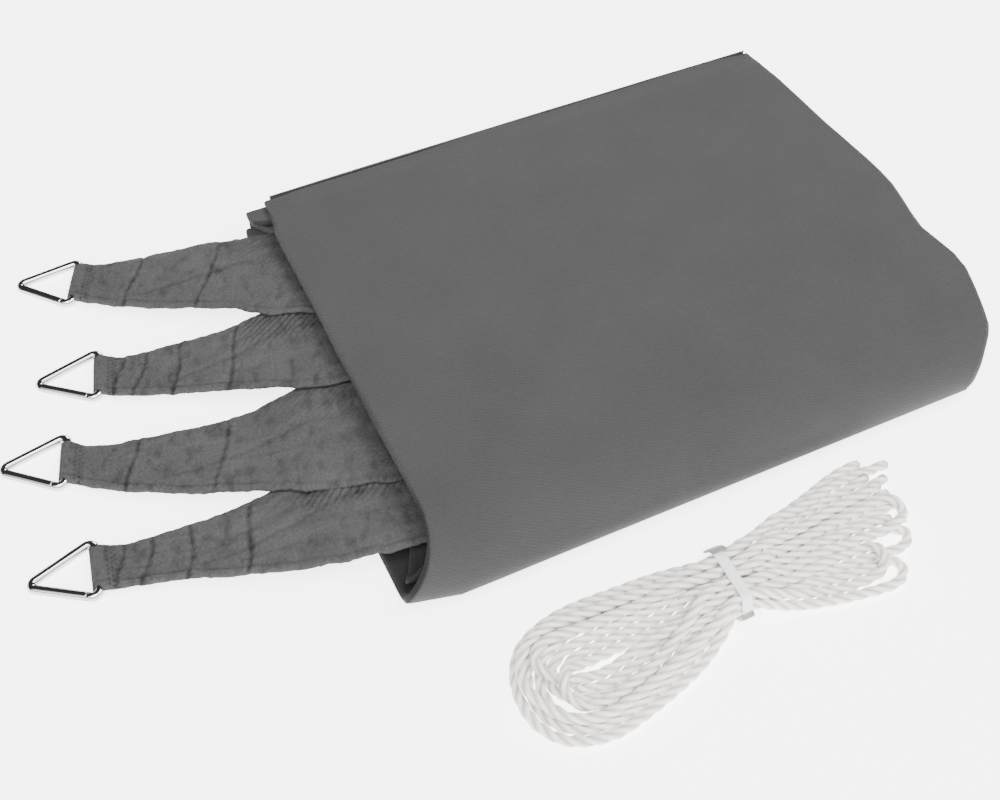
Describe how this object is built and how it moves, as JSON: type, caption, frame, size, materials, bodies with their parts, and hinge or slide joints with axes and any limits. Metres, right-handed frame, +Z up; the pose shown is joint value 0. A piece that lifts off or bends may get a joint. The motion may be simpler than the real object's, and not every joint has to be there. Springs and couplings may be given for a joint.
{
  "type": "folded shade sail with lashing ropes",
  "caption": "Grey knitted sun-shade sail folded flat, with gathered corner tails on triangular wire rings, and a tied hank of white twisted rope beside it.",
  "frame": {"origin": "on the ground under the middle of the sail's footprint, tails and rings included and ropes left out", "axes": "+X along the packet away from the corner tails, +Y from the front fold to the open edges at the back, +Z up"},
  "size_m": [0.7596, 0.5695, 0.052],
  "materials": {
    "sail_cloth": "knitted polyethylene mesh, matte",
    "ring_steel": "polished stainless steel wire",
    "rope": "three-strand twisted synthetic rope, slight sheen",
    "tie": "thin translucent strap"
  },
  "bodies": {
    "packet_base": {"sail_lower_folds": "sail_cloth", "corner_root_1": "sail_cloth", "corner_root_2": "sail_cloth", "corner_root_3": "sail_cloth", "corner_root_4": "sail_cloth"},
    "packet_top": {"sail_upper_folds": "sail_cloth"},
    "corner_1": {"corner_tail_1": "sail_cloth", "corner_patch_1": "sail_cloth", "ring_loop_1": "sail_cloth"},
    "ring_1": {"ring_1": "ring_steel"},
    "corner_2": {"corner_tail_2": "sail_cloth", "corner_patch_2": "sail_cloth", "ring_loop_2": "sail_cloth"},
    "ring_2": {"ring_2": "ring_steel"},
    "corner_3": {"corner_tail_3": "sail_cloth", "corner_patch_3": "sail_cloth", "ring_loop_3": "sail_cloth"},
    "ring_3": {"ring_3": "ring_steel"},
    "corner_4": {"corner_tail_4": "sail_cloth", "corner_patch_4": "sail_cloth", "ring_loop_4": "sail_cloth"},
    "ring_4": {"ring_4": "ring_steel"},
    "ropes": {"rope_hank": "rope", "hank_tie": "tie"}
  },
  "joints": [
    {"name": "top_fold_open", "type": "hinge", "parent": "packet_base", "child": "packet_top", "pos_m": [0.12, -0.215, 0.025], "axis": [1, 0, 0], "range_deg": [0, 105]},
    {"name": "corner_1_bend", "type": "hinge", "parent": "packet_base", "child": "corner_1", "pos_m": [-0.146, 0.137, 0.022], "axis": [0.4067, 0.9135, 0], "range_deg": [0, 75]},
    {"name": "ring_1_swing", "type": "hinge", "parent": "corner_1", "child": "ring_1", "pos_m": [-0.27857, 0.19603, 0.006], "axis": [0.4067, 0.9135, 0], "range_deg": [0, 120]},
    {"name": "corner_2_bend", "type": "hinge", "parent": "packet_base", "child": "corner_2", "pos_m": [-0.15, 0.055, 0.022], "axis": [0.2588, 0.9659, 0], "range_deg": [0, 75]},
    {"name": "ring_2_swing", "type": "hinge", "parent": "corner_2", "child": "ring_2", "pos_m": [-0.28629, 0.09152, 0.006], "axis": [0.2588, 0.9659, 0], "range_deg": [0, 120]},
    {"name": "corner_3_bend", "type": "hinge", "parent": "packet_base", "child": "corner_3", "pos_m": [-0.154, -0.034, 0.022], "axis": [0.2924, 0.9563, 0], "range_deg": [0, 75]},
    {"name": "ring_3_swing", "type": "hinge", "parent": "corner_3", "child": "ring_3", "pos_m": [-0.33025, 0.01989, 0.006], "axis": [0.2924, 0.9563, 0], "range_deg": [0, 120]},
    {"name": "corner_4_bend", "type": "hinge", "parent": "packet_base", "child": "corner_4", "pos_m": [-0.153, -0.111, 0.022], "axis": [0.1633, 0.9866, 0], "range_deg": [0, 75]},
    {"name": "ring_4_swing", "type": "hinge", "parent": "corner_4", "child": "ring_4", "pos_m": [-0.33285, -0.08123, 0.006], "axis": [0.1633, 0.9866, 0], "range_deg": [0, 120]},
    {"name": "rope_pull_away", "type": "slide", "parent": "packet_base", "child": "ropes", "axis": [0, -1, 0], "range_m": [0, 0.2]}
  ]
}
